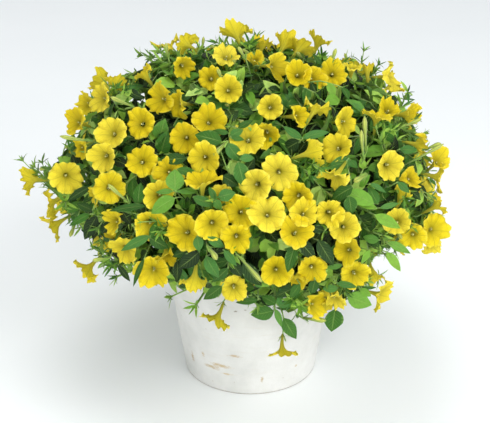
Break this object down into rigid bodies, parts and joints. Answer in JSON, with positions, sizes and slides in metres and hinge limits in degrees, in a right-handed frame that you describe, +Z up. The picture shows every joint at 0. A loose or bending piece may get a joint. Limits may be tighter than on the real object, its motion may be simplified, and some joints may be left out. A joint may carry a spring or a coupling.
{
  "type": "potted petunia",
  "caption": "Rounded mound of yellow petunia flowers and green leaves growing in a plain tapered pot with a white lime wash.",
  "frame": {"origin": "centre of the pot's flat underside", "axes": "+Z up, -Y towards the front of the plant, +X to the right seen from the front"},
  "size_m": [0.6245, 0.6086, 0.5501],
  "materials": {
    "limewashed_clay": "matte",
    "potting_mix": "matte",
    "woody_stem": "matte",
    "petunia_leaf": "satin",
    "petunia_petal": "matte"
  },
  "bodies": {
    "root": {"pot": "limewashed_clay", "potting_soil": "potting_mix", "crown": "woody_stem", "shoot_hanging_01": "petunia_leaf", "shoot_hanging_02": "petunia_leaf", "shoot_hanging_03": "petunia_leaf", "shoot_hanging_04": "petunia_leaf", "shoot_hanging_05": "petunia_leaf", "shoot_hanging_06": "petunia_leaf", "shoot_hanging_07": "petunia_leaf", "shoot_hanging_08": "petunia_leaf", "shoot_hanging_09": "petunia_leaf", "shoot_hanging_10": "petunia_leaf", "shoot_side_01": "petunia_leaf", "shoot_side_02": "petunia_leaf", "shoot_side_03": "petunia_leaf", "shoot_side_04": "petunia_leaf", "shoot_side_05": "petunia_leaf", "shoot_side_06": "petunia_leaf", "shoot_side_07": "petunia_leaf", "shoot_top_01": "petunia_leaf", "shoot_top_02": "petunia_leaf", "shoot_top_03": "petunia_leaf", "flower_01": "petunia_petal", "flower_02": "petunia_petal", "flower_03": "petunia_petal", "flower_04": "petunia_petal", "flower_05": "petunia_petal", "flower_06": "petunia_petal", "flower_07": "petunia_petal", "flower_08": "petunia_petal", "flower_09": "petunia_petal", "flower_10": "petunia_petal", "flower_11": "petunia_petal", "flower_12": "petunia_petal", "flower_13": "petunia_petal", "flower_14": "petunia_petal", "flower_15": "petunia_petal", "flower_16": "petunia_petal", "flower_17": "petunia_petal", "flower_18": "petunia_petal", "flower_19": "petunia_petal", "flower_20": "petunia_petal", "flower_21": "petunia_petal", "flower_22": "petunia_petal", "flower_23": "petunia_petal", "flower_24": "petunia_petal", "flower_25": "petunia_petal", "flower_26": "petunia_petal", "flower_27": "petunia_petal", "flower_28": "petunia_petal", "flower_29": "petunia_petal", "flower_30": "petunia_petal", "flower_31": "petunia_petal", "flower_32": "petunia_petal", "flower_33": "petunia_petal", "flower_34": "petunia_petal", "flower_35": "petunia_petal", "flower_36": "petunia_petal"}
  },
  "joints": []
}
